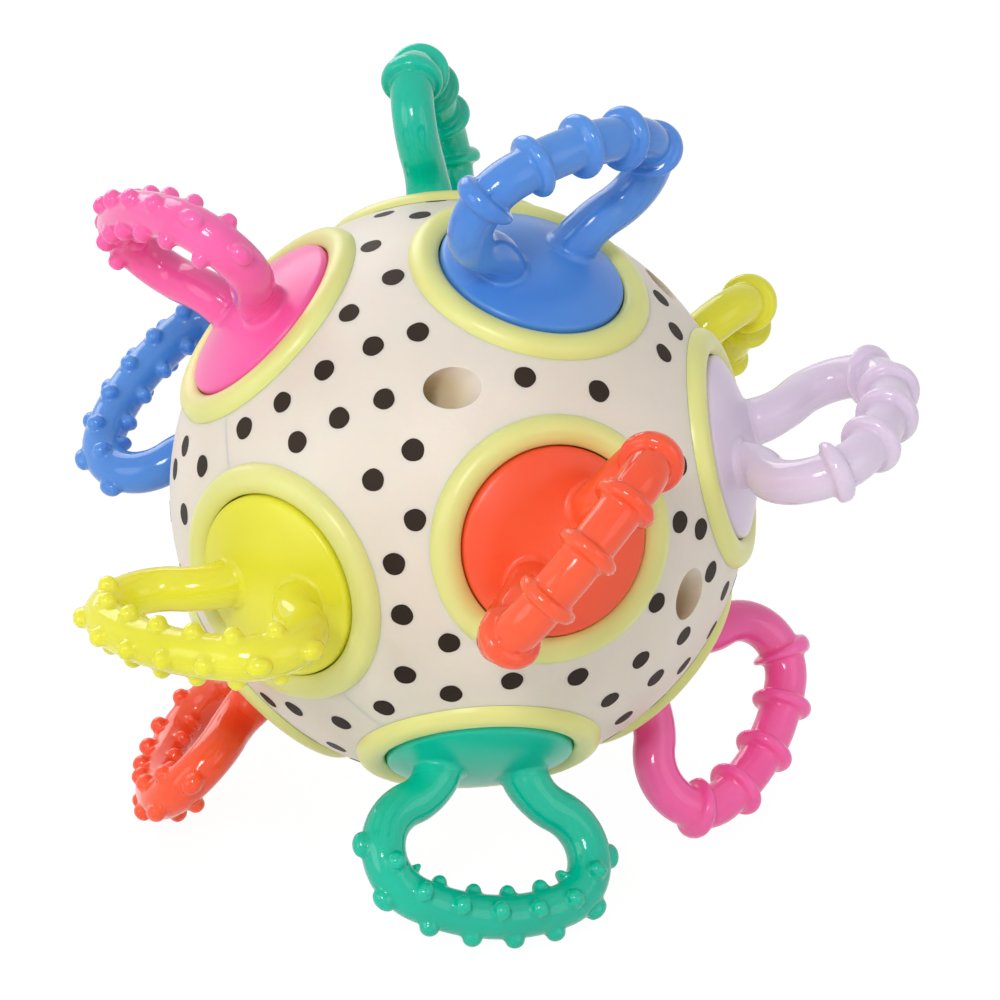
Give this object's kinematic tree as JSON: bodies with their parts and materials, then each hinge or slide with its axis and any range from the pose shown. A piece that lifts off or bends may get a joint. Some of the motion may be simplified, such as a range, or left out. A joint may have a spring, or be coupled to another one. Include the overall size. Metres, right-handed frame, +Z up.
{
  "type": "sensory ball",
  "caption": "Hollow sensory ball of two half shells with raised bezels and soft coloured teether loops, ringed and bumpy, that spin with clicks.",
  "frame": {"origin": "centre of the hollow ball, where all the spin axes meet", "axes": "+Z up as the ball stands on four of its loops; the camera of the picture looks along +Y and down, with +X to the right"},
  "size_m": [0.1361, 0.1349, 0.1282],
  "materials": {
    "shell": "satin moulded off-white plastic with printed dark round dots",
    "bezel": "satin moulded pale lime plastic",
    "blue_soft": "soft glossy moulded blue elastomer, slightly see-through at thin edges",
    "orange_soft": "soft glossy moulded orange elastomer, slightly see-through at thin edges",
    "lavender_soft": "soft glossy moulded lavender elastomer, slightly see-through at thin edges",
    "pink_soft": "soft glossy moulded pink elastomer, slightly see-through at thin edges",
    "yellow_soft": "soft glossy moulded yellow elastomer, slightly see-through at thin edges",
    "green_soft": "soft glossy moulded green elastomer, slightly see-through at thin edges",
    "click_plastic": "natural acetal, as moulded",
    "screw": "zinc-plated steel"
  },
  "bodies": {
    "ball": {"front_shell": "shell", "rear_shell": "shell", "click_springs": "click_plastic", "shell_screws": "screw", "blue_ringed_bezel": "bezel", "orange_ringed_bezel": "bezel", "lavender_ringed_bezel": "bezel", "pink_bumpy_bezel": "bezel", "yellow_bumpy_bezel": "bezel", "green_bumpy_bezel": "bezel", "pink_ringed_bezel": "bezel", "yellow_ringed_bezel": "bezel", "green_ringed_bezel": "bezel", "blue_bumpy_bezel": "bezel", "orange_bumpy_bezel": "bezel", "lavender_bumpy_bezel": "bezel"},
    "blue_ringed": {"blue_ringed_loop": "blue_soft", "blue_ringed_click_wheel": "click_plastic", "blue_ringed_hub_screw": "screw"},
    "orange_ringed": {"orange_ringed_loop": "orange_soft", "orange_ringed_click_wheel": "click_plastic", "orange_ringed_hub_screw": "screw"},
    "lavender_ringed": {"lavender_ringed_loop": "lavender_soft", "lavender_ringed_click_wheel": "click_plastic", "lavender_ringed_hub_screw": "screw"},
    "pink_bumpy": {"pink_bumpy_loop": "pink_soft", "pink_bumpy_click_wheel": "click_plastic", "pink_bumpy_hub_screw": "screw"},
    "yellow_bumpy": {"yellow_bumpy_loop": "yellow_soft", "yellow_bumpy_click_wheel": "click_plastic", "yellow_bumpy_hub_screw": "screw"},
    "green_bumpy": {"green_bumpy_loop": "green_soft", "green_bumpy_click_wheel": "click_plastic", "green_bumpy_hub_screw": "screw"},
    "pink_ringed": {"pink_ringed_loop": "pink_soft", "pink_ringed_click_wheel": "click_plastic", "pink_ringed_hub_screw": "screw"},
    "yellow_ringed": {"yellow_ringed_loop": "yellow_soft", "yellow_ringed_click_wheel": "click_plastic", "yellow_ringed_hub_screw": "screw"},
    "green_ringed": {"green_ringed_loop": "green_soft", "green_ringed_click_wheel": "click_plastic", "green_ringed_hub_screw": "screw"},
    "blue_bumpy": {"blue_bumpy_loop": "blue_soft", "blue_bumpy_click_wheel": "click_plastic", "blue_bumpy_hub_screw": "screw"},
    "orange_bumpy": {"orange_bumpy_loop": "orange_soft", "orange_bumpy_click_wheel": "click_plastic", "orange_bumpy_hub_screw": "screw"},
    "lavender_bumpy": {"lavender_bumpy_loop": "lavender_soft", "lavender_bumpy_click_wheel": "click_plastic", "lavender_bumpy_hub_screw": "screw"}
  },
  "joints": [
    {"name": "blue_ringed_spin", "type": "hinge", "parent": "ball", "child": "blue_ringed", "pos_m": [0, 0, 0], "axis": [0.2115, -0.2458, 0.946], "continuous": true},
    {"name": "orange_ringed_spin", "type": "hinge", "parent": "ball", "child": "orange_ringed", "pos_m": [0, 0, 0], "axis": [0.3224, -0.9214, 0.2171], "continuous": true},
    {"name": "lavender_ringed_spin", "type": "hinge", "parent": "ball", "child": "lavender_ringed", "pos_m": [0, 0, 0], "axis": [0.9494, -0.1448, 0.2787], "continuous": true},
    {"name": "pink_bumpy_spin", "type": "hinge", "parent": "ball", "child": "pink_bumpy", "pos_m": [0, 0, 0], "axis": [-0.7379, -0.101, 0.6673], "continuous": true},
    {"name": "yellow_bumpy_spin", "type": "hinge", "parent": "ball", "child": "yellow_bumpy", "pos_m": [0, 0, 0], "axis": [-0.627, -0.7766, -0.0616], "continuous": true},
    {"name": "green_bumpy_spin", "type": "hinge", "parent": "ball", "child": "green_bumpy", "pos_m": [0, 0, 0], "axis": [0.1109, -0.6756, -0.7289], "continuous": true},
    {"name": "pink_ringed_spin", "type": "hinge", "parent": "ball", "child": "pink_ringed", "pos_m": [0, 0, 0], "axis": [0.7379, 0.101, -0.6673], "continuous": true},
    {"name": "yellow_ringed_spin", "type": "hinge", "parent": "ball", "child": "yellow_ringed", "pos_m": [0, 0, 0], "axis": [0.627, 0.7766, 0.0616], "continuous": true},
    {"name": "green_ringed_spin", "type": "hinge", "parent": "ball", "child": "green_ringed", "pos_m": [0, 0, 0], "axis": [-0.1109, 0.6756, 0.7289], "continuous": true},
    {"name": "blue_bumpy_spin", "type": "hinge", "parent": "ball", "child": "blue_bumpy", "pos_m": [0, 0, 0], "axis": [-0.7774, 0.6289, -0.0152], "continuous": true},
    {"name": "orange_bumpy_spin", "type": "hinge", "parent": "ball", "child": "orange_bumpy", "pos_m": [0, 0, 0], "axis": [-0.6664, -0.0467, -0.7441], "continuous": true},
    {"name": "lavender_bumpy_spin", "type": "hinge", "parent": "ball", "child": "lavender_bumpy", "pos_m": [0, 0, 0], "axis": [-0.0394, 0.7299, -0.6825], "continuous": true}
  ]
}
